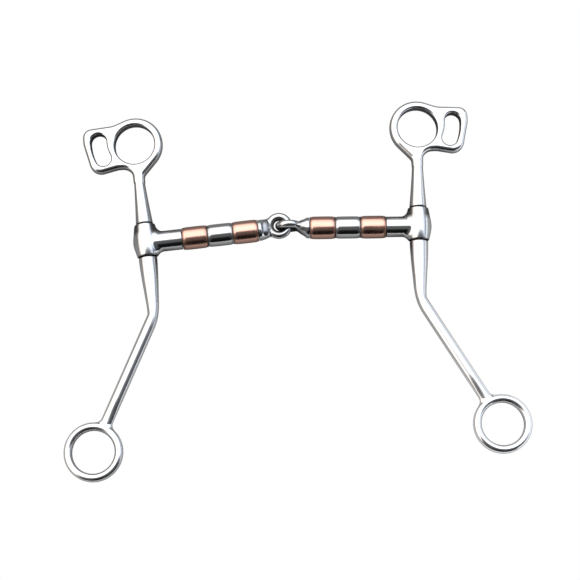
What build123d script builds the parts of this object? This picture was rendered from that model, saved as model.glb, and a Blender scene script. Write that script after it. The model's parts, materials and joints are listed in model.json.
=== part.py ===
from build123d import *
import math
import os

# A loose-cheek curb bit with a jointed roller mouthpiece, lying on a table with its cheeks turned flat.
# Sizes are in millimetres.
#
# Row frame: X runs along the mouthpiece, Y from the rein rings towards the headstall rings, and Z up from
# the table. The origin is on the table, under the middle of the whole bit.
# Half frame: each half is drawn with its origin where the cheek pin crosses the mouthpiece axis, x outwards,
# y along the pin towards the headstall ring, and z up. The left half mirrors the right half.

SIDES = ("left", "right")

# How the two halves lie on the table.
half_turn = {"left": 6.6, "right": 0.8}  # degrees that each half is turned about Z
eye_gap = 4.8  # centre of the left eye to centre of the right eye, with the joint a little slack

# Headstall ring and curb-strap lobe, one flat plate.
plate_thickness = 6.0
plate_edge_radius = 1.3
hole_edge_radius = 0.8
headstall_centre = (0.7, 51.2)
headstall_hole_radius = 10.1
headstall_ring_radius = 13.9  # of the outline's round corners
# Outline of the plate from the foot of its arm round the ring, over the lobe and back: corner and its radius.
plate_foot = ((-2.3, 31.0), (3.0, 31.0))
plate_corners = (
    ((-2.3, 34.3), 4.0),
    ((-13.3, 45.3), headstall_ring_radius),
    ((-13.3, 65.2), headstall_ring_radius),
    ((2.9, 65.2), headstall_ring_radius),
    ((10.8, 62.7), 12.0),
    ((26.4, 62.5), 4.5),
    ((26.7, 55.0), 12.0),
    ((23.2, 37.8), 6.0),
    ((10.5, 39.8), 10.0),
    ((3.0, 39.3), 5.5),
)
slot_bottom = (17.1, 46.1)
slot_middle = (18.4, 50.6)
slot_top = (18.7, 55.0)
slot_width = 8.0

# Arm between the plate and the barrel: distance up the pin, middle, width, depth and corner radius.
arm_sections = ((31.0, 0.35, 5.3, 6.0, 1.3), (21.0, 0.2, 6.7, 6.9, 2.6), (9.75, 0.0, 8.6, 8.6, 4.1))

# Barrel that turns on the cheek pin, and the pin itself.
barrel_top = 9.4
barrel_bottom = -7.3
barrel_end_radius = 5.1
barrel_middle_radius = 6.1
barrel_blend_radius = 3.0
cheek_gap = 0.35
pin_radius = 2.5
pin_engagement = 9.0
running_clearance = 0.08

# Shank: upper leg, bend, lower leg and rein ring.
shank_sections = ((-19.0, 8.2, 7.4), (-27.0, 6.9, 6.6))  # distance along the pin, width and depth
shank_top_width = 9.2
bend_height = -37.1
shank_bend = {"left": 29.6, "right": 31.8}  # degrees, set by hand on each cheek
bend_radius = 9.0
lower_shank_width = 5.9
lower_shank_depth = 5.7
rein_ring_distance = 73.8  # from the bend to the centre of the rein ring
rein_hole_radius = 10.6
rein_outer_radius = 14.7
rein_ring_depth = 5.0
rein_edge_radius = 1.9

# Mouthpiece half: stub of the barrel, three rollers on a spindle, and the eye of the mouth joint.
pin_to_eye = {"left": 66.7, "right": 65.0}
stub_radius = 5.15
spindle_radius = 3.0
stub_engagement = 7.0
eye_engagement = 3.0
roller_length = 12.35
roller_gap = 0.3
roller_radius = {"inner": 5.7, "middle": 5.55, "outer": 5.7}
roller_edge_radius = 0.7
eye_reach = 10.5  # from the centre of the eye to its shoulder against the inner roller
eye_shoulder_radius = 5.2
eye_ring_radius = 4.75  # to the middle of the wire
eye_wire_radius = 1.9
eye_offset = 1.2  # from the roller spindle's axis to the eye's centre, towards the headstall rings
# Neck of the eye: distance from the centre of the eye, width across the ring's face, and thickness.
eye_neck_sections = ((4.2, 8.6, 4.6), (6.0, 9.6, 6.6), (7.8, 10.2, 8.4), (9.5, 10.4, 10.4))

# Sizes that follow from the ones above.
axis_height = eye_ring_radius + eye_wire_radius  # the upright eye stands on the table
roller_pitch = roller_length + roller_gap


def rollers_start(side):
    """Where the inner roller's end meets the shoulder of the eye, along x in the half frame."""
    return eye_reach - pin_to_eye[side]


def stub_end(side):
    return rollers_start(side) + len(roller_radius) * roller_pitch + roller_gap


def rein_ring_centre(side):
    bend = math.radians(shank_bend[side])
    return (rein_ring_distance * math.sin(bend), bend_height - rein_ring_distance * math.cos(bend))


def cheek_droop(side):
    """Degrees that the cheek swings down about its pin before its rein ring meets the table."""
    reach = rein_ring_centre(side)[0] + rein_outer_radius - rein_edge_radius
    drop = axis_height - rein_ring_depth / 2
    return math.degrees(math.asin(drop / reach))


def across_y(height):
    """Plane that cuts a leg of the cheek square across, with its x outwards."""
    return Plane(origin=(0, height, 0), x_dir=(1, 0, 0), z_dir=(0, -1, 0))


def pin_hole(start, end):
    return across_y(start) * extrude(Circle(pin_radius), start - end)


def rod(radius, start, end):
    """Round bar along the mouthpiece axis, between two distances along x."""
    return Pos(start, 0, 0) * Rot(0, 90, 0) * extrude(Circle(radius), end - start)


def flat_faces(plate):
    faces = plate.faces().sort_by(Axis.Z)
    return faces[0], faces[-1]


def rim_edges(plate):
    """Edges round both flat faces, without the straight ones across the foot."""
    edges = [edge for face in flat_faces(plate) for edge in face.edges()]
    foot_height = min(edge.center().Y for edge in edges)
    return [edge for edge in edges if not math.isclose(edge.center().Y, foot_height, abs_tol=1e-3)]


def hole_edges(plate):
    return [edge for face in flat_faces(plate) for wire in face.inner_wires() for edge in wire.edges()]


def purchase():
    corners = [corner for corner, radius in plate_corners]
    radii = [radius for corner, radius in plate_corners]
    rim = FilletPolyline(plate_foot[0], *corners, plate_foot[1], radius=radii)
    outline = make_face(rim + Line(plate_foot[1], plate_foot[0]))
    hole = Pos(*headstall_centre) * Circle(headstall_hole_radius)
    slot = SlotArc(ThreePointArc(slot_bottom, slot_middle, slot_top), slot_width)
    plate = extrude(outline, plate_thickness / 2, both=True)
    plate = fillet(rim_edges(plate), plate_edge_radius)
    plate -= extrude(hole + slot, plate_thickness / 2, both=True)
    plate = fillet(hole_edges(plate), hole_edge_radius)
    sections = [
        across_y(height) * Pos(middle, 0) * RectangleRounded(width, depth, radius)
        for height, middle, width, depth, radius in arm_sections
    ]
    arm = loft(sections)
    foot = barrel_top + cheek_gap
    return plate + arm - pin_hole(foot + pin_engagement, foot)


def rein_ring(side):
    width = rein_outer_radius - rein_hole_radius
    profile = RectangleRounded(width, rein_ring_depth, rein_edge_radius)
    ring = revolve(Plane.XZ * Pos(rein_hole_radius + width / 2, 0) * profile, Axis.Z)
    return Pos(*rein_ring_centre(side)) * ring


def shank(side):
    top = barrel_bottom - cheek_gap
    bend = math.radians(shank_bend[side])
    bend_length = bend_radius * math.tan(bend / 2)
    bend_top = bend_height + bend_length
    leg_profile = Ellipse(lower_shank_width / 2, lower_shank_depth / 2)
    sections = [across_y(top) * Circle(shank_top_width / 2)]
    sections += [across_y(height) * Ellipse(width / 2, depth / 2) for height, width, depth in shank_sections]
    sections.append(across_y(bend_top) * leg_profile)
    upper_leg = loft(sections)
    bend_axis = Axis((bend_radius, bend_top, 0), (0, 0, 1))
    elbow = revolve(across_y(bend_top) * leg_profile, bend_axis, shank_bend[side])
    down = Vector(math.sin(bend), -math.cos(bend), 0)
    leg_start = Vector(0, bend_height, 0) + down * bend_length
    leg_plane = Plane(origin=leg_start, x_dir=(math.cos(bend), math.sin(bend), 0), z_dir=down)
    ring_middle = (rein_hole_radius + rein_outer_radius) / 2
    lower_leg = leg_plane * extrude(leg_profile, rein_ring_distance - bend_length - ring_middle)
    return upper_leg + elbow + lower_leg + rein_ring(side) - pin_hole(top, top - pin_engagement)


def pivot_pin():
    top = barrel_top + cheek_gap + pin_engagement
    bottom = barrel_bottom - cheek_gap - pin_engagement
    return pin_hole(top, bottom)


def barrel(side):
    middle = (barrel_top + barrel_bottom) / 2
    top_rim = (barrel_end_radius, barrel_top)
    bottom_rim = (barrel_end_radius, barrel_bottom)
    outline = Polyline(bottom_rim, (0, barrel_bottom), (0, barrel_top), top_rim)
    bulge = ThreePointArc(top_rim, (barrel_middle_radius, middle), bottom_rim)
    cask = revolve(make_face(outline + bulge), Axis.Y)
    stub_plane = Plane(origin=(0, 0, 0), x_dir=(0, 1, 0), z_dir=(-1, 0, 0))
    stub = stub_plane * extrude(Circle(stub_radius), -stub_end(side))
    tee = cask + stub
    tee = fillet(new_edges(cask, stub, combined=tee), barrel_blend_radius)
    bore = across_y(barrel_top) * extrude(Circle(pin_radius + running_clearance), barrel_top - barrel_bottom)
    return tee - bore - rod(spindle_radius, stub_end(side), stub_end(side) + stub_engagement)


def roller_spindle(side):
    start = rollers_start(side) - eye_engagement
    end = stub_end(side) + stub_engagement
    return rod(spindle_radius, start, end)


def roller(side, place):
    index = list(roller_radius).index(place)
    start = rollers_start(side) + roller_gap + index * roller_pitch
    end = start + roller_length
    body = rod(roller_radius[place], start, end)
    body = fillet(body.edges(), roller_edge_radius)
    return body - rod(spindle_radius + running_clearance, start, end)


def mouth_eye(side):
    """Shoulder, neck and ring of a half's eye. The left ring lies flat and the right ring stands upright."""
    upright = side == "right"
    ring = revolve(Plane.XZ * Pos(eye_ring_radius, 0) * Circle(eye_wire_radius), Axis.Z)
    if upright:
        ring = Rot(90, 0, 0) * ring
    neck_end = eye_neck_sections[-1][0]
    sections = []
    for reach, width, thickness in eye_neck_sections:
        across, up = (thickness, width) if upright else (width, thickness)
        middle = (reach, eye_offset * (1 - reach / neck_end), 0)
        sections.append(Plane(origin=middle, x_dir=(0, 1, 0), z_dir=(1, 0, 0)) * Ellipse(across / 2, up / 2))
    neck = loft(sections)
    shoulder = rod(eye_shoulder_radius, neck_end, eye_reach)
    socket = rod(spindle_radius, eye_reach - eye_engagement, eye_reach)
    return Pos(-pin_to_eye[side], 0, 0) * (Pos(0, eye_offset, 0) * ring + neck + shoulder - socket)


def half_origin(side):
    """Where the cheek pin crosses the mouthpiece axis, with the left eye's centre at x = y = 0."""
    eye = Vector(-pin_to_eye[side], eye_offset, 0)
    joint = Vector(eye_gap, 0, axis_height)
    if side == "left":
        eye = Vector(pin_to_eye[side], eye_offset, 0)
        joint = Vector(0, 0, axis_height)
    return joint - eye.rotate(Axis.Z, half_turn[side])


def build():
    """All the solids by node name, in the row frame."""
    solids = {}
    for side in SIDES:
        mouthpiece = {
            "barrel": barrel(side),
            "roller_spindle": roller_spindle(side),
            "mouth_eye": mouth_eye(side),
        }
        mouthpiece |= {f"{place}_roller": roller(side, place) for place in roller_radius}
        cheek = {"purchase": purchase(), "shank": shank(side), "pivot_pin": pivot_pin()}
        half = Pos(half_origin(side)) * Rot(0, 0, half_turn[side])
        droop = cheek_droop(side)
        if side == "left":
            mouthpiece = {name: mirror(solid, Plane.YZ) for name, solid in mouthpiece.items()}
            cheek = {name: mirror(solid, Plane.YZ) for name, solid in cheek.items()}
            droop = -droop
        for name, solid in mouthpiece.items():
            solids[f"{side}_{name}"] = half * solid
        for name, solid in cheek.items():
            solids[f"{side}_{name}"] = half * Rot(0, droop, 0) * solid
    box = Compound([solid.solid() for solid in solids.values()]).bounding_box()
    centre = Pos(-box.center().X, -box.center().Y, -box.min.Z)
    return {name: centre * solid.solid() for name, solid in solids.items()}


os.makedirs("parts", exist_ok=True)
for node, solid in build().items():
    export_step(solid, f"parts/{node}.step")
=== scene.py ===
import json
import math

import bpy
import numpy as np
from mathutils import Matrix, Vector


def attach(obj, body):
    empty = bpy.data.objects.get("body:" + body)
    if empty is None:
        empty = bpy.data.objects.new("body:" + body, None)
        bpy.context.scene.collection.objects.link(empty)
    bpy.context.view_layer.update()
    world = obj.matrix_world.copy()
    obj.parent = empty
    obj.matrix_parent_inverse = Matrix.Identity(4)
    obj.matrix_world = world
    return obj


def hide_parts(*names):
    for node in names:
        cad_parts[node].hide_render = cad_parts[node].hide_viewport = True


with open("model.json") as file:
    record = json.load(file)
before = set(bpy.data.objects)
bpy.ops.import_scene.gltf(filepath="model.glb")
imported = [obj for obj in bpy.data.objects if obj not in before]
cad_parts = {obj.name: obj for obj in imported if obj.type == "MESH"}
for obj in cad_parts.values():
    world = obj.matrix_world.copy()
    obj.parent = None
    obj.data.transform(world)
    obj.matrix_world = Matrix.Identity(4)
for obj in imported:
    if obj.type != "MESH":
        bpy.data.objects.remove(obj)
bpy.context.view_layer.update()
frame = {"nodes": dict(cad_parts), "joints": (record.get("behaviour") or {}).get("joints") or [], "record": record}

# A loose-cheek curb bit of polished steel with copper and steel rollers, over a pale floor.
#
# Each forged or turned part is a smooth field: a function that is negative inside the part and grows with the
# distance from its surface, in millimetres. surface() meshes a field, and place() puts the mesh in the frame.
# Half frame: origin where the cheek pin crosses the mouthpiece axis, x outwards, y along the pin towards the
# headstall ring and z up. The cheek frame is the same, swung about the pin until it lies along the cheek.

MM = 0.001
SIDES = ("left", "right")
PLACES = ("inner", "middle", "outer")
mounts = {mount["name"]: mount for mount in frame["record"]["mounts"]}
joints = {joint["name"]: joint for joint in frame["joints"]}

# Headstall ring and curb-strap lobe, one plate, and the arm that carries it.
plate_thickness = 6.0
plate_edge_radius = 2.2
hole_edge_radius = 1.35
headstall_hole_radius = 10.1
ring_corner_radius = 13.92
plate_corners = (
    ((-2.3, 30.1), 2.5),
    ((-2.3, 34.3), 4.0),
    ((-13.3, 45.3), ring_corner_radius),
    ((-13.3, 65.2), ring_corner_radius),
    ((2.9, 65.2), ring_corner_radius),
    ((10.8, 62.7), 12.0),
    ((26.4, 62.5), 4.5),
    ((26.7, 55.0), 12.0),
    ((23.2, 37.8), 6.0),
    ((10.5, 39.8), 10.0),
    ((3.0, 39.3), 5.5),
    ((3.0, 30.1), 2.5),
)
slot_points = ((17.1, 46.1), (18.4, 50.6), (18.7, 55.0))
slot_width = 8.0
arm_heights = (9.75, 21.0, 31.0)
arm_middles = (0.0, 0.2, 0.35)
arm_widths = (8.6, 6.7, 5.3)
arm_depths = (8.6, 7.0, 6.05)
arm_radii = (4.2, 3.2, 2.4)
arm_top = 38.0
arm_blend = 0.9

# Barrel, cheek pin and shank.
barrel_top = 9.4
barrel_bottom = -7.3
barrel_end_radius = 5.1
barrel_middle_radius = 6.1
barrel_blend_radius = 3.0
cheek_gap = 0.35
pin_radius = 2.5
pin_engagement = 9.0
running_clearance = 0.08
end_edge_radius = 0.55
socket_edge_radius = 0.05
shank_stations = (0.0, 11.35, 19.35, 27.0)  # distance down the shank from the barrel
shank_widths = (9.2, 8.2, 6.95, 6.05)
shank_depths = (9.2, 7.4, 6.6, 5.7)
bend_height = -37.1
inner_bend_radius = 5.0
outer_bend_radius = 24.0
rein_hole_radius = 10.6
rein_outer_radius = 14.68
rein_ring_depth = 5.0
rein_edge_radius = 2.0
rein_blend = 2.4
shank_flattening = 17.0  # length over which the shank thins to run into the rein ring
shank_flat_drop = 1.9

# Mouthpiece half.
stub_radius = 5.15
spindle_radius = 3.0
stub_engagement = 7.0
eye_engagement = 3.0
roller_length = 12.35
roller_gap = 0.3
roller_end_play = 0.12
roller_radius = {"inner": 5.7, "middle": 5.55, "outer": 5.7}
roller_edge_radius = 0.4
crown_drop = 0.16
crown_power = 4
roller_bore_chamfer = 0.15
roller_curve_points = 9
roller_rounds = 120
collar_edge_radius = 0.22
eye_reach = 10.5
eye_shoulder_radius = 5.2
eye_ring_radius = {"left": 4.62, "right": 4.75}
eye_wire_radius = {"left": 2.03, "right": 1.9}
eye_offset = 1.2
eye_neck_reaches = (4.2, 6.0, 7.8, 9.5)
eye_neck_widths = (8.6, 9.6, 10.2, 10.4)
eye_neck_thicknesses = (4.6, 6.6, 8.4, 10.4)
eye_blend = 1.4

# Painted shade, in seams, hollows and on the barrel's flanks: how far it reaches, and how strong it is, from 0 to
# 1.
cheek_seam_reach = 1.2
barrel_seam_reach = 1.1
collar_seam_reach = 0.7
roller_seam_reach = 0.5
flank_start = 2.2  # distance from the pin's line where the painted shade on the barrel's flanks starts
flank_fade = 1.4
flank_depth = 6.5  # how far they reach below the barrel's top
flank_depth_fade = 2.5
flank_shade = 0.85
bore_start = 0.2  # strength of the painted shade at the middle of the eye's wire
bore_fade = 0.8
bore_shade = 0.92
valley_reach = 3.0
valley_shade = 0.45
tip_reach = 2.4
tip_shade = {"left": 0, "right": 0.55}

# Meshing. The boxes are the parts of space that are searched for a surface.
cell = 0.3
slope_step = 0.01
least_steepness = 0.05
relaxing_rounds = 3
steepest_lean = 0.92
tiny = 1e-6
purchase_box = ((-14, barrel_top, -5), (28, 66, 5))
cheek_room = 5
ring_room = 15
barrel_room = 6.5
eye_box = ((-7, -7, -7), (eye_reach, 8, 7))  # about the eye's centre, but level with the half's axis

# Stage, in metres.
floor_height = -0.13
floor_half = 3.0
dome_radius = 6.0
table_height = -0.0002
card_x = 0.22
card_half = 0.2
card_height = 0.06
camera_tilt = math.radians(13)
camera_distance = 1.0
camera_target = (-0.004148, 0.000361, 0)
camera_sensor = 36
camera_lens = 124.14
camera_near = 0.05


# ---------------------------------------------------------------- frames

def half_frame(side):
    """Origin in metres, and the x, y and z directions as columns."""
    swivel = joints[f"{side}_cheek_swivel"]
    outwards = joints[f"{side}_inner_roller_spin"]["axis"]
    return np.array(swivel["pos_m"]), np.column_stack([outwards, swivel["axis"], (0, 0, 1)])


def cheek_frame(side):
    origin, axes = half_frame(side)
    normal = np.array(mounts[f"{side}_headstall_ring"]["axis"])
    outwards = axes[:, 0] - normal * axes[:, 0].dot(normal)
    return origin, np.column_stack([outwards / np.linalg.norm(outwards), axes[:, 1], normal])


def seen_from(place_frame, point):
    """A point of the row, in a frame's own millimetres."""
    origin, axes = place_frame
    return (np.array(point) - origin) @ axes / MM


# ---------------------------------------------------------------- fields

def length(*parts):
    return np.sqrt(sum(part * part for part in parts))


def overlap(first, second, edge):
    """Where both shapes are, with the edge between them rounded to a radius."""
    corner = length(np.maximum(edge + first, 0), np.maximum(edge + second, 0))
    return np.minimum(-edge, np.maximum(first, second)) + corner


def union(first, second, fillet, lean=0):
    """Both shapes together, with a fillet where they meet.

    lean is the cosine between their outward directions, so that a fillet adds little where they run alike.
    """
    lean = np.clip(lean, 0, steepest_lean)
    from_first, from_second = fillet - first, fillet - second
    in_fillet = (from_first > lean * from_second) & (from_second > lean * from_first)
    reach = from_first**2 + from_second**2 - 2 * lean * from_first * from_second
    reach = np.sqrt(np.maximum(reach, 0) / (1 - lean**2))
    return np.where(in_fillet, fillet - reach, np.minimum(first, second))


def rise_of(across, up, half_width, half_depth):
    """How far an ellipse's outward direction points along up, from 0 to 1."""
    slope = length(across / half_width**2, up / half_depth**2)
    return np.abs(up) / half_depth**2 / np.maximum(slope, tiny)


def cut(shape, tool, edge):
    return overlap(shape, -tool, edge)


def rounded_box(across, up, half_width, half_depth, radius):
    side = np.abs(across) - half_width + radius
    top = np.abs(up) - half_depth + radius
    outside = length(np.maximum(side, 0), np.maximum(top, 0))
    return outside + np.minimum(np.maximum(side, top), 0) - radius


def ellipse(across, up, half_width, half_depth):
    ratio = length(across / half_width, up / half_depth)
    slope = length(across / half_width**2, up / half_depth**2)
    return ratio * (ratio - 1) / np.maximum(slope, tiny)


def smooth_between(position, stations, sizes):
    """Sizes joined by a smooth curve that levels out at both ends."""
    stations, sizes = np.array(stations), np.array(sizes)
    slopes = np.gradient(sizes, stations)
    slopes[[0, -1]] = 0
    index = np.clip(np.searchsorted(stations, position) - 1, 0, len(stations) - 2)
    span = stations[index + 1] - stations[index]
    t = np.clip((position - stations[index]) / span, 0, 1)
    rise = t * t * (3 - 2 * t)
    bow = slopes[index] * t * (1 - t) ** 2 - slopes[index + 1] * t * t * (1 - t)
    return sizes[index] + (sizes[index + 1] - sizes[index]) * rise + bow * span


def round_corners(corners):
    """Each corner of a closed outline with the arc that rounds it."""
    points = np.array([point for point, radius in corners])
    radii = np.array([radius for point, radius in corners])
    back = np.roll(points, 1, axis=0) - points
    ahead = np.roll(points, -1, axis=0) - points
    back /= np.linalg.norm(back, axis=1)[:, None]
    ahead /= np.linalg.norm(ahead, axis=1)[:, None]
    middle = (back + ahead) / np.linalg.norm(back + ahead, axis=1)[:, None]
    half_angle = np.arccos(np.clip((back * middle).sum(axis=1), -1, 1))
    reach = (radii / np.tan(half_angle))[:, None]
    centre = points + middle * (radii / np.sin(half_angle))[:, None]
    return list(zip(points, radii, points + back * reach, points + ahead * reach, centre, half_angle))


def outline_field(x, y, outline):
    """Distance from an outline of straight runs and arcs, negative inside it."""
    nearest = np.full(x.shape, np.inf)
    inside = np.zeros(x.shape, bool)
    for corner, following in zip(outline, outline[1:] + outline[:1]):
        point, radius, arc_start, arc_end, centre, half_angle = corner
        run = following[2] - arc_end
        along = ((x - arc_end[0]) * run[0] + (y - arc_end[1]) * run[1]) / run.dot(run)
        along = np.clip(along, 0, 1)
        distance = np.hypot(x - arc_end[0] - along * run[0], y - arc_end[1] - along * run[1])
        nearest = np.minimum(nearest, distance)
        dx, dy = x - centre[0], y - centre[1]
        reach = np.hypot(dx, dy)
        tip = (point - centre) / np.linalg.norm(point - centre)
        in_span = dx * tip[0] + dy * tip[1] > reach * math.sin(half_angle)
        nearest = np.where(in_span, np.minimum(nearest, np.abs(reach - radius)), nearest)
        before, after = (arc_start - centre) / radius, (arc_end - centre) / radius
        within_sides = np.maximum(dx * before[0] + dy * before[1], dx * after[0] + dy * after[1]) < radius
        inside ^= in_span & (reach > radius) & within_sides
        next_point = following[0]
        rise = next_point[1] - point[1]
        if rise:
            crossing = point[0] + (y - point[1]) * (next_point[0] - point[0]) / rise
            inside ^= ((point[1] > y) != (next_point[1] > y)) & (x < crossing)
    return np.where(inside, -nearest, nearest)


def slot_field(x, y):
    """Kidney-shaped slot: a round-ended groove along the arc through three points."""
    start, middle, end = (np.array(point) for point in slot_points)
    sides = np.array([middle - start, end - middle])
    centre = np.linalg.solve(sides, (sides * np.array([middle + start, end + middle]) / 2).sum(axis=1))
    radius = np.linalg.norm(start - centre)
    chord = (end - start) / np.linalg.norm(end - start)
    half_chord = np.linalg.norm(end - start) / 2
    half_angle = math.asin(half_chord / radius)
    bulge = middle - centre
    bulge = bulge - chord * bulge.dot(chord)
    bulge /= np.linalg.norm(bulge)
    dx, dy = x - centre[0], y - centre[1]
    angle = np.arctan2(dx * chord[0] + dy * chord[1], dx * bulge[0] + dy * bulge[1])
    angle = np.clip(angle, -half_angle, half_angle)
    across = centre[0] + radius * (np.cos(angle) * bulge[0] + np.sin(angle) * chord[0])
    upwards = centre[1] + radius * (np.cos(angle) * bulge[1] + np.sin(angle) * chord[1])
    return np.hypot(x - across, y - upwards) - slot_width / 2


def pin_bore(x, z, radius):
    return length(x, z) - radius


def purchase_field(points, hole_centre):
    """Plate with the headstall hole and the curb-strap slot, on a tapering arm that ends at the barrel."""
    x, y, z = points.T
    foot = barrel_top + cheek_gap
    plate = overlap(outline_field(x, y, plate_outline), np.abs(z) - plate_thickness / 2, plate_edge_radius)
    middle, width, depth, radius = (
        np.polyval(np.polyfit(arm_heights, sizes, 2), y)
        for sizes in (arm_middles, arm_widths, arm_depths, arm_radii)
    )
    arm = rounded_box(x - middle, z, width / 2, depth / 2, radius)
    arm = overlap(arm, y - arm_top, end_edge_radius)
    arm = overlap(arm, foot - y, end_edge_radius)
    plate_rise = np.clip(1 + (np.abs(z) - plate_thickness / 2) / plate_edge_radius, 0, 1)
    arm_rise = np.clip(1 + (np.abs(z) - depth / 2) / radius, 0, 1)
    shape = union(plate, arm, arm_blend, plate_rise * arm_rise)
    headstall_hole = np.hypot(x - hole_centre[0], y - hole_centre[1]) - headstall_hole_radius
    shape = cut(shape, headstall_hole, hole_edge_radius)
    shape = cut(shape, slot_field(x, y), hole_edge_radius)
    pin_hole = np.maximum(pin_bore(x, z, pin_radius), y - foot - pin_engagement)
    return cut(shape, pin_hole, socket_edge_radius)


def bent_path(x, y, bend, radius):
    """Distance across and along a path that runs down the pin's line and then turns outwards."""
    reach = radius * math.tan(bend / 2)
    arc_top = bend_height + reach
    arc_end_x, arc_end_y = reach * math.sin(bend), bend_height - reach * math.cos(bend)
    past_arc = (x - arc_end_x) * math.sin(bend) - (y - arc_end_y) * math.cos(bend)
    across_lower = (x - arc_end_x) * math.cos(bend) + (y - arc_end_y) * math.sin(bend)
    angle = np.arctan2(arc_top - y, radius - x)
    upper = y > arc_top
    elbow = ~upper & (angle < bend)
    across_elbow = radius - np.hypot(x - radius, y - arc_top)
    across = np.where(upper, x, np.where(elbow, across_elbow, across_lower))
    past_top = np.where(elbow, radius * angle, radius * bend + past_arc)
    along = np.where(upper, -y, past_top - arc_top)
    return across, along


def shank_field(points, ring_centre):
    """Tapering upper leg, a bend that is tighter on its inner side, straight lower leg and rein ring."""
    x, y, z = points.T
    top = barrel_bottom - cheek_gap
    bend = math.atan2(ring_centre[0], bend_height - ring_centre[1])
    inner_across = bent_path(x, y, bend, inner_bend_radius)[0]
    outer_across, along = bent_path(x, y, bend, outer_bend_radius)
    width = smooth_between(along + top, shank_stations, shank_widths)
    depth = smooth_between(along + top, shank_stations, shank_depths)
    ring_distance = np.hypot(x - ring_centre[0], y - ring_centre[1])
    ring_middle = (rein_hole_radius + rein_outer_radius) / 2
    before_ring = (x - ring_centre[0]) * math.sin(bend) - (y - ring_centre[1]) * math.cos(bend)
    before_ring = before_ring + ring_middle
    depth = depth - smooth_between(before_ring, (-shank_flattening, 0), (0, shank_flat_drop))
    share = np.clip((inner_across + outer_across) / (2 * width) + 0.5, 0, 1)
    across = outer_across + (inner_across - outer_across) * share**2 * (3 - 2 * share)
    rod = ellipse(across, z, width / 2, depth / 2)
    rod = overlap(rod, y - top, end_edge_radius)
    rod = overlap(rod, before_ring, end_edge_radius)
    ring_width = rein_outer_radius - rein_hole_radius
    ring = rounded_box(ring_distance - ring_middle, z, ring_width / 2, rein_ring_depth / 2, rein_edge_radius)
    ring_rise = np.clip(1 + (np.abs(z) - rein_ring_depth / 2) / rein_edge_radius, 0, 1)
    shape = union(rod, ring, rein_blend, ring_rise * rise_of(across, z, width / 2, depth / 2))
    pin_hole = np.maximum(pin_bore(x, z, pin_radius), top - pin_engagement - y)
    return cut(shape, pin_hole, socket_edge_radius)


def barrel_field(points, stub_end):
    """Cask that turns on the cheek pin, with the stub that carries the rollers' spindle."""
    x, y, z = points.T
    middle = (barrel_top + barrel_bottom) / 2
    half_height = (barrel_top - barrel_bottom) / 2
    swell = barrel_middle_radius - barrel_end_radius
    bulge_radius = (half_height**2 + swell**2) / (2 * swell)
    sag = bulge_radius - np.sqrt(np.maximum(bulge_radius**2 - (y - middle) ** 2, 1))
    cask = length(x, z) - (barrel_middle_radius - sag)
    stub = length(np.maximum(x, 0), y, z) - stub_radius
    stub = overlap(stub, stub_end - x, collar_edge_radius)
    lean = z * z / np.maximum(length(x, z) * length(y, z), tiny)
    shape = union(cask, stub, barrel_blend_radius, lean)
    shape = overlap(shape, np.abs(y - middle) - half_height, end_edge_radius)
    shape = cut(shape, pin_bore(x, z, pin_radius + running_clearance), end_edge_radius / 2)
    socket = np.maximum(length(y, z) - spindle_radius, x - stub_end - stub_engagement)
    return cut(shape, socket, socket_edge_radius)


def eye_field(points, centre_x, side):
    """Ring, neck and shoulder of a half's eye, with a socket for the spindle."""
    x, y, z = points.T
    x = x - centre_x
    ring_y = y - eye_offset
    upright = side == "right"
    ring_radius, wire_radius = eye_ring_radius[side], eye_wire_radius[side]
    if upright:
        ring = length(length(x, z) - ring_radius, ring_y) - wire_radius
    else:
        ring = length(length(x, ring_y) - ring_radius, z) - wire_radius
    width = smooth_between(x, eye_neck_reaches, eye_neck_widths)
    thickness = smooth_between(x, eye_neck_reaches, eye_neck_thicknesses)
    across, up = (thickness, width) if upright else (width, thickness)
    neck_end = eye_neck_reaches[-1]
    neck_middle = eye_offset * np.clip(1 - x / neck_end, 0, 1)
    neck = ellipse(y - neck_middle, z, across / 2, up / 2)
    neck = overlap(neck, eye_neck_reaches[0] - x, end_edge_radius)
    neck = overlap(neck, x - neck_end, end_edge_radius)
    shoulder = overlap(length(y, z) - eye_shoulder_radius, neck_end - x, collar_edge_radius)
    shoulder = overlap(shoulder, x - eye_reach, collar_edge_radius)
    if upright:
        ring_rise = np.abs(y) / np.maximum(wire_radius + ring, 0.1)
        neck_rise = rise_of(z, y, up / 2, across / 2)
    else:
        ring_rise = np.abs(z) / np.maximum(wire_radius + ring, 0.1)
        neck_rise = rise_of(y, z, across / 2, up / 2)
    shape = union(ring, neck, eye_blend, ring_rise * neck_rise)
    shape = union(shape, shoulder, end_edge_radius)
    socket = np.maximum(length(y, z) - spindle_radius, eye_reach - eye_engagement - x)
    return cut(shape, socket, socket_edge_radius)


# ---------------------------------------------------------------- meshes

def gradient(field, points):
    slopes = []
    for axis in range(3):
        shift = np.zeros(3)
        shift[axis] = slope_step
        slopes.append((field(points + shift) - field(points - shift)) / (2 * slope_step))
    return np.stack(slopes, axis=1)


def onto_surface(field, points, steps):
    """Points moved along the field's slope to where it is zero."""
    for _ in range(steps):
        slope = gradient(field, points)
        steepness = np.maximum((slope**2).sum(axis=1), least_steepness)
        points = points - slope * (field(points) / steepness)[:, None]
    return points


def neighbour_average(points, quads):
    total = np.zeros_like(points)
    count = np.zeros(len(points))
    for first, second in ((0, 1), (1, 2), (2, 3), (3, 0)):
        for here, there in ((quads[:, first], quads[:, second]), (quads[:, second], quads[:, first])):
            count += np.bincount(here, minlength=len(points))
            for axis in range(3):
                total[:, axis] += np.bincount(here, points[there, axis], minlength=len(points))
    return total / count[:, None]


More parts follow.
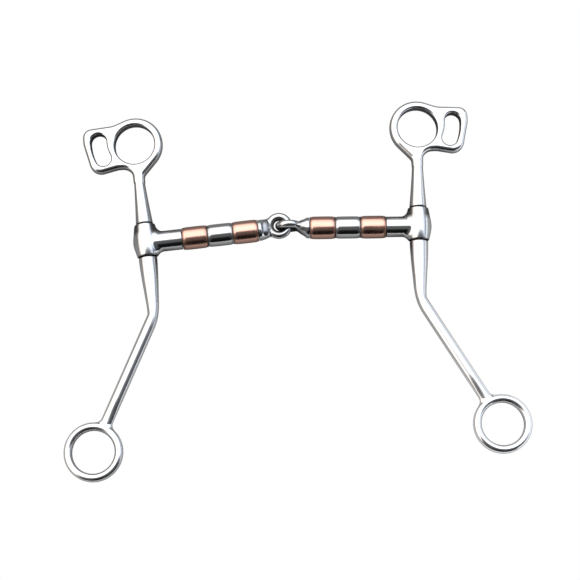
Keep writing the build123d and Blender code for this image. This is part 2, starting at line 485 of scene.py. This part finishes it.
def grid_faces(inside, index):
    """Quads between neighbouring cells, one for each grid edge that leaves or enters the shape."""
    quads = []
    for axis in range(3):
        order = (axis, (axis + 1) % 3, (axis + 2) % 3)
        solid = inside.transpose(order)
        cells = index.transpose(order)
        for leaving in (True, False):
            i, j, k = np.nonzero((solid[:-1] == leaving) & (solid[1:] != leaving))
            ring = [cells[i, j - 1, k - 1], cells[i, j, k - 1], cells[i, j, k], cells[i, j - 1, k]]
            quads.append(np.stack(ring if leaving else ring[::-1], axis=1))
    return np.concatenate(quads)


def surface(field, low, high):
    """Points, quads and normals of the field's surface: one point in each cell of a grid that it crosses."""
    axes = [np.arange(start - 2 * cell, end + 3 * cell, cell) for start, end in zip(low, high)]
    grid = np.stack(np.meshgrid(*axes, indexing="ij"), axis=-1)
    inside = field(grid.reshape(-1, 3)).reshape(grid.shape[:3]) < 0
    corners = sum(
        inside[i:i - 1 or None, j:j - 1 or None, k:k - 1 or None].astype(np.int8)
        for i in (0, 1) for j in (0, 1) for k in (0, 1)
    )
    crossed = (corners > 0) & (corners < 8)
    index = np.full(crossed.shape, -1)
    index[crossed] = np.arange(crossed.sum())
    quads = grid_faces(inside, index)
    points = onto_surface(field, grid[:-1, :-1, :-1][crossed] + cell / 2, 3)
    for _ in range(relaxing_rounds):
        points = onto_surface(field, neighbour_average(points, quads), 2)
    normals = gradient(field, points)
    return points, quads, normals / np.linalg.norm(normals, axis=1)[:, None]


def place(name, shape, place_frame, body, node, finish, marks=None):
    """A mesh object from a shape in a frame's millimetres. marks are values for its points, by name."""
    points, quads, normals = shape
    origin, axes = place_frame
    if np.linalg.det(axes) < 0:
        quads = quads[:, ::-1]
    mesh = bpy.data.meshes.new(name)
    mesh.from_pydata((points @ axes.T * MM + origin).tolist(), [], quads.tolist())
    mesh.shade_smooth()
    mesh.normals_split_custom_set_from_vertices((normals @ axes.T).tolist())
    for mark, values in (marks or {}).items():
        attribute = mesh.attributes.new(mark, "FLOAT", "POINT")
        attribute.data.foreach_set("value", values.astype(np.float32))
    mesh.materials.append(finish)
    piece = bpy.data.objects.new(name, mesh)
    bpy.context.scene.collection.objects.link(piece)
    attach(piece, body)
    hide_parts(node)


def roller_section(radius):
    """Closed section of a roller: distance along it from its middle, and radius.

    The edge's arc runs from the end face back to the crown, so the section doubles back beside each end.
    """
    half = roller_length / 2 + roller_end_play
    bore = spindle_radius + running_clearance
    shoulder = half - roller_edge_radius
    quarter = []
    for share in np.linspace(0, 1, roller_curve_points)[:-1]:
        quarter.append((shoulder * share, radius - crown_drop * share**crown_power))
    for turn in np.linspace(math.pi / 2, 0, roller_curve_points):
        along = half - roller_edge_radius * (1 - math.sin(turn))
        quarter.append((along, radius - crown_drop - roller_edge_radius * (1 - math.cos(turn))))
    quarter.append((half, bore + roller_bore_chamfer))
    quarter.append((half - roller_bore_chamfer, bore))
    return np.array([(-along, out) for along, out in quarter[::-1]] + quarter[1:])


def roller_shape(radius):
    """A turned sleeve about its own middle: points, quads and normals."""
    section = roller_section(radius)
    angles = np.arange(roller_rounds) * 2 * math.pi / roller_rounds
    along = np.repeat(section[:, 0], roller_rounds)
    out = np.repeat(section[:, 1], roller_rounds)
    turn = np.tile(angles, len(section))
    points = np.stack([along, out * np.cos(turn), out * np.sin(turn)], axis=1)
    tangent = np.roll(section, -1, axis=0) - np.roll(section, 1, axis=0)
    tangent /= np.linalg.norm(tangent, axis=1)[:, None]
    lean = np.repeat(-tangent[:, 1], roller_rounds)
    rise = np.repeat(tangent[:, 0], roller_rounds)
    normals = np.stack([lean, rise * np.cos(turn), rise * np.sin(turn)], axis=1)
    quads = []
    for ring in range(len(section)):
        here = ring * roller_rounds
        following = (ring + 1) % len(section) * roller_rounds
        for step in range(roller_rounds):
            after = (step + 1) % roller_rounds
            quads.append((here + step, here + after, following + after, following + step))
    return points, np.array(quads), normals


# ---------------------------------------------------------------- materials

def add(tree, kind, inputs=None, **settings):
    """A new node. An input is either a value or another node's output."""
    node = tree.nodes.new(kind)
    for name, value in settings.items():
        setattr(node, name, value)
    for name, value in (inputs or {}).items():
        if isinstance(value, bpy.types.NodeSocket):
            tree.links.new(value, node.inputs[name])
        else:
            node.inputs[name].default_value = value
    return node


def new_tree(name):
    material = bpy.data.materials.new(name)
    material.use_nodes = True
    material.node_tree.nodes.clear()
    return material, material.node_tree


def fade(tree, value, stops):
    """Colours along a value from 0 to 1, given as (value, colour)."""
    node = add(tree, "ShaderNodeValToRGB", {"Fac": value})
    elements = node.color_ramp.elements
    while len(elements) < len(stops):
        elements.new(0.5)
    for element, (position, colour) in zip(elements, stops):
        element.position = position
        element.color = (*colour, 1) if isinstance(colour, tuple) else (colour, colour, colour, 1)
    return node.outputs["Color"]


def mix(tree, factor, first, second, blend="MIX"):
    """Two colours mixed. The mix node's colour inputs share their names with others, so they go by number."""
    inputs = {"Factor": factor, 6: first, 7: second}
    return add(tree, "ShaderNodeMix", inputs, data_type="RGBA", blend_type=blend).outputs[2]


def noise(tree, where, scale, detail, distortion=0.0):
    inputs = {"Vector": where, "Scale": scale, "Detail": detail, "Distortion": distortion}
    return add(tree, "ShaderNodeTexNoise", inputs).outputs["Fac"]


def map_range(tree, value, start, end, low, high):
    """A value that goes from low to high while another goes from start to end."""
    inputs = {"Value": value, "From Min": start, "From Max": end, "To Min": low, "To Max": high}
    return add(tree, "ShaderNodeMapRange", inputs).outputs["Result"]


def multiply_add(tree, value, factor, addend):
    return add(tree, "ShaderNodeMath", {0: value, 1: factor, 2: addend}, operation="MULTIPLY_ADD").outputs[0]


def edge_wear(tree, where):
    """1 on patches of the sharpest edges."""
    edge = add(tree, "ShaderNodeNewGeometry").outputs["Pointiness"]
    patches = fade(tree, noise(tree, where, 420.0, 4.0), [(0.4, 0.0), (0.65, 1.0)])
    return mix(tree, 1.0, fade(tree, edge, [(0.53, 0.0), (0.62, 1.0)]), patches, "MULTIPLY")


def metal(name, light, dark, roughness, grain):
    """Polished metal: drifting colour, smudges, fine scratches, worn edges, and painted shade that darkens the
    seams and hollows.
    """
    material, tree = new_tree(name)
    where = add(tree, "ShaderNodeTexCoord").outputs["Object"]
    drift = noise(tree, where, 60.0, 3.0)
    smudge = noise(tree, where, 160.0, 5.0)
    hairs = noise(tree, where, 700.0, 2.0, 4.0)
    scratches = fade(tree, hairs, [(0.485, 0.0), (0.5, 1.0), (0.515, 0.0)])
    worn = edge_wear(tree, where)
    painted_shade = add(tree, "ShaderNodeAttribute", attribute_name="painted_shade").outputs["Fac"]

    colour = mix(tree, drift, light, dark)
    colour = mix(tree, worn, colour, worn_metal)
    # painted shade: where the mark is set, the colour darkens towards near black
    colour = mix(tree, painted_shade, colour, painted_shade_colour)

    matt = map_range(tree, smudge, 0.35, 0.7, *roughness)
    for mark, amount in ((scratches, 0.05), (worn, 0.1), (painted_shade, 0.3)):
        matt = multiply_add(tree, mark, amount, matt)

    waves = {"Height": drift, "Strength": 0.35, "Distance": 0.0002}
    normal = add(tree, "ShaderNodeBump", waves).outputs["Normal"]
    grooves = {"Height": scratches, "Strength": grain, "Distance": 0.00002, "Normal": normal}
    normal = add(tree, "ShaderNodeBump", grooves).outputs["Normal"]

    finish = {"Metallic": 1.0, "Base Color": colour, "Roughness": matt, "Normal": normal}
    shader = add(tree, "ShaderNodeBsdfPrincipled", finish)
    add(tree, "ShaderNodeOutputMaterial", {"Surface": shader.outputs["BSDF"]})
    return material


worn_metal = (0.93, 0.92, 0.90, 1)
# near black, for painted shade
painted_shade_colour = (0.03, 0.028, 0.026, 1)
cheek_steel = metal("cheek_steel", (0.86, 0.87, 0.89, 1), (0.78, 0.79, 0.81, 1), (0.10, 0.17), 0.10)
mouth_steel = metal("mouth_steel", (0.82, 0.83, 0.85, 1), (0.72, 0.73, 0.75, 1), (0.07, 0.13), 0.10)
roller_steel = metal("roller_steel", (0.78, 0.79, 0.80, 1), (0.68, 0.69, 0.71, 1), (0.07, 0.13), 0.10)
roller_copper = metal("roller_copper", (0.90, 0.55, 0.45, 1), (0.82, 0.47, 0.37, 1), (0.16, 0.25), 0.12)
pin_steel = metal("pin_steel", (0.55, 0.55, 0.56, 1), (0.42, 0.42, 0.43, 1), (0.25, 0.4), 0.2)


# ---------------------------------------------------------------- pieces

plate_outline = round_corners(plate_corners)


def near(distance, reach):
    """1 at a seam, fading to 0 over a reach in millimetres."""
    return np.clip(1 - np.abs(distance) / reach, 0, 1) ** 2


def build_purchase(side):
    here = cheek_frame(side)
    hole_centre = seen_from(here, mounts[f"{side}_headstall_ring"]["pos_m"])
    shape = surface(lambda points: purchase_field(points, hole_centre), *purchase_box)
    # painted shade: darker where the arm's foot meets the barrel
    marks = {"painted_shade": near(shape[0][:, 1] - barrel_top - cheek_gap, cheek_seam_reach)}
    place(f"{side}_purchase_forging", shape, here, f"{side}_cheek", f"{side}_purchase", cheek_steel, marks)


def build_shank(side):
    here = cheek_frame(side)
    ring_centre = seen_from(here, mounts[f"{side}_rein_ring"]["pos_m"])
    low = (-cheek_room, ring_centre[1] - ring_room, -cheek_room)
    high = (ring_centre[0] + ring_room, barrel_bottom, cheek_room)
    shape = surface(lambda points: shank_field(points, ring_centre), low, high)
    # painted shade: darker where the shank's top meets the barrel
    marks = {"painted_shade": near(shape[0][:, 1] - barrel_bottom + cheek_gap, cheek_seam_reach)}
    place(f"{side}_shank_forging", shape, here, f"{side}_cheek", f"{side}_shank", cheek_steel, marks)


def roller_middles(side):
    """Where each roller's middle is along the half."""
    here = half_frame(side)
    spins = {which: joints[f"{side}_{which}_roller_spin"] for which in PLACES}
    return {which: seen_from(here, spin["pos_m"])[0] for which, spin in spins.items()}


def build_barrel(side):
    stub_end = roller_middles(side)["outer"] + roller_length / 2 + roller_gap
    low = (stub_end, barrel_bottom, -barrel_room)
    high = (barrel_room, barrel_top, barrel_room)
    shape = surface(lambda points: barrel_field(points, stub_end), low, high)
    x, y, z = shape[0].T
    # painted shade: darker at the barrel's ends, at the stub's collar, and in patches on the upper flanks that
    # stand in for dark reflections
    to_end = np.minimum(np.abs(y - barrel_top), np.abs(y - barrel_bottom))
    outwards = np.clip((np.abs(x) - flank_start) / flank_fade, 0, 1)
    upwards = np.clip((y - barrel_top + flank_depth) / flank_depth_fade, 0, 1)
    flanks = outwards * upwards * flank_shade
    seams = np.maximum(near(to_end, barrel_seam_reach), near(x - stub_end, collar_seam_reach))
    marks = {"painted_shade": np.maximum(seams, flanks)}
    here = half_frame(side)
    place(f"{side}_barrel_casting", shape, here, f"{side}_cannon", f"{side}_barrel", mouth_steel, marks)


def build_eye(side):
    eye_x = roller_middles(side)["inner"] - roller_length / 2 - roller_gap - eye_reach
    low, high = (np.array(corner) + np.array([eye_x, 0, 0]) for corner in eye_box)
    shape = surface(lambda points: eye_field(points, eye_x, side), low, high)
    x, y, z = (shape[0] - np.array([eye_x, eye_offset, 0])).T
    # painted shade: darker inside the ring's hole, in the neck's valley, at the right eye's tip where it passes
    # through the other eye, and at the collar
    inside_wire = eye_ring_radius[side] - np.hypot(x, z if side == "right" else y)
    bore = np.clip(inside_wire / bore_fade + bore_start, 0, 1) * bore_shade
    valley = near(x - eye_neck_reaches[1], valley_reach) * valley_shade
    tip = near(x + eye_ring_radius[side], tip_reach) * tip_shade[side]
    marks = {"painted_shade": np.maximum.reduce([bore, valley, tip, near(x - eye_reach, collar_seam_reach)])}
    here = half_frame(side)
    place(f"{side}_eye_forging", shape, here, f"{side}_cannon", f"{side}_mouth_eye", mouth_steel, marks)


def build_rollers(side):
    for which, middle in roller_middles(side).items():
        points, quads, normals = roller_shape(roller_radius[which])
        # painted shade: darker towards each roller's ends, in the gaps between rollers
        marks = {"painted_shade": near(roller_length / 2 - np.abs(points[:, 0]), roller_seam_reach)}
        shape = (points + np.array([middle, 0, 0]), quads, normals)
        finish = roller_steel if which == "middle" else roller_copper
        node = f"{side}_{which}_roller"
        place(f"{node}_sleeve", shape, half_frame(side), node, node, finish, marks)


def finish_pins(side):
    """The pin and the spindle keep their CAD solids, which need only a material."""
    for node in (f"{side}_pivot_pin", f"{side}_roller_spindle"):
        frame["nodes"][node].data.materials.clear()
        frame["nodes"][node].data.materials.append(pin_steel)


for side in SIDES:
    build_purchase(side)
    build_shank(side)
    build_barrel(side)
    build_eye(side)
    build_rollers(side)
    finish_pins(side)


# ---------------------------------------------------------------- floor, light and camera

def shine(tree, colour, strength):
    """Makes a material shine evenly on its front, and stay unseen from behind."""
    front = add(tree, "ShaderNodeEmission", {"Color": colour, "Strength": strength}).outputs["Emission"]
    back = add(tree, "ShaderNodeBsdfTransparent").outputs["BSDF"]
    facing_away = add(tree, "ShaderNodeNewGeometry").outputs["Backfacing"]
    shader = add(tree, "ShaderNodeMixShader", {0: facing_away, 1: front, 2: back})
    add(tree, "ShaderNodeOutputMaterial", {"Surface": shader.outputs[0]})


def sheet(name, corners, material):
    mesh = bpy.data.meshes.new(name)
    mesh.from_pydata(corners, [], [(0, 1, 2, 3)])
    mesh.materials.append(material)
    piece = bpy.data.objects.new(name, mesh)
    bpy.context.scene.collection.objects.link(piece)
    return piece


def square(half, height):
    return [(-half, -half, height), (half, -half, height), (half, half, height), (-half, half, height)]


def build_backdrop():
    """Pale floor and dome. The floor is low enough for the mouthpiece to fold."""
    white, tree = new_tree("floor_white")
    shine(tree, (1, 1, 1, 1), 1.0)
    floor = sheet("floor", square(floor_half, floor_height), white)
    bpy.ops.mesh.primitive_uv_sphere_add(radius=dome_radius, segments=48, ring_count=24)
    dome = bpy.context.object
    dome.name = "dome"
    dome.data.flip_normals()
    dome.data.materials.append(white)
    for piece in (floor, dome):
        piece.visible_glossy = False
        piece.visible_diffuse = False
        piece.visible_shadow = False


def build_table():
    """A glowing table at the bit's own level, which only shows in reflections. It is dark close to the bit, a
    painted shadow, and painted brighter towards the front and the right.
    """
    material, tree = new_tree("table_light")
    shade = add(tree, "ShaderNodeAmbientOcclusion", {"Distance": 0.03}, samples=16)
    # painted shadow: the glow darkens where the bit crowds the table
    colour = fade(tree, shade.outputs["AO"], [(0.3, 0.01), (0.6, 0.07), (0.82, 0.26), (1.0, 0.36)])
    where = add(tree, "ShaderNodeSeparateXYZ", {0: add(tree, "ShaderNodeTexCoord").outputs["Object"]})
    # painted light fall-off: brighter towards the front and the right
    front = map_range(tree, where.outputs["Y"], -0.04, 0.04, 1.3, 0.65)
    right = map_range(tree, where.outputs["X"], 0.06, 0.085, 1.0, 1.8)
    strength = add(tree, "ShaderNodeMath", {0: front, 1: right}, operation="MULTIPLY").outputs[0]
    shine(tree, colour, strength)
    table = sheet("mirrored_table", square(floor_half, table_height), material)
    table.visible_camera = False


def build_card():
    """A pale card on the right, which only shows in reflections."""
    material, tree = new_tree("card_light")
    shine(tree, (0.92, 0.96, 1.0, 1), 1.1)
    corners = [(card_half, 0), (-card_half, 0), (-card_half, card_height), (card_half, card_height)]
    card = sheet("side_card", [(card_x, y, z) for y, z in corners], material)
    card.visible_camera = False


# The studio's light, in layers that multiply. Each has a direction, and its light by the cosine of the angle
# from there.
ceiling = ((-0.1, 0.05, 1), ((0.0, 0.06), (0.17, 0.12), (0.3, 0.34), (0.42, 0.66), (0.64, 0.9), (0.85, 1.0)))
dark_front = ((0.2, -0.79, 0.55), ((0.525, 1.0), (0.585, 0.45), (0.65, 0.14), (0.73, 0.065), (1.0, 0.055)))
lens_spot = ((0.08, -0.866, 0.5), ((0.925, 1.0), (0.972, 0.12)))
cool_right = ((1, 0, 0), ((0.1, 1.0), (0.5, (0.86, 0.91, 0.97)), (0.9, (0.55, 0.61, 0.70))))
warm_left = ((-1, 0, 0), ((0.1, 1.0), (0.9, (1.0, 0.91, 0.82))))
studio_strength = 1.9


def build_world():
    """Studio surround: a white ceiling that fades towards the horizon, with a dark front."""
    world = bpy.data.worlds.new("studio")
    bpy.context.scene.world = world
    world.use_nodes = True
    tree = world.node_tree
    tree.nodes.clear()
    direction = add(tree, "ShaderNodeTexCoord").outputs["Generated"]
    light = (1, 1, 1, 1)
    for aim, stops in (ceiling, dark_front, lens_spot, cool_right, warm_left):
        inputs = {0: direction, 1: Vector(aim).normalized()}
        cosine = add(tree, "ShaderNodeVectorMath", inputs, operation="DOT_PRODUCT").outputs["Value"]
        light = mix(tree, 1.0, light, fade(tree, cosine, stops), "MULTIPLY")
    background = add(tree, "ShaderNodeBackground", {"Color": light, "Strength": studio_strength})
    add(tree, "ShaderNodeOutputWorld", {"Surface": background.outputs["Background"]})


def build_camera():
    """A long lens above the bit, leaning a little towards the rein rings."""
    back = Vector((0, -math.sin(camera_tilt), math.cos(camera_tilt)))
    camera_data = bpy.data.cameras.new("camera")
    camera_data.sensor_width = camera_sensor
    camera_data.lens = camera_lens
    camera_data.clip_start = camera_near
    camera = bpy.data.objects.new("camera", camera_data)
    camera.location = Vector(camera_target) + back * camera_distance
    camera.rotation_euler = (camera_tilt, 0, 0)
    bpy.context.scene.collection.objects.link(camera)
    bpy.context.scene.camera = camera


build_backdrop()
build_table()
build_card()
build_world()
build_camera()
bpy.context.scene.view_settings.view_transform = "Standard"
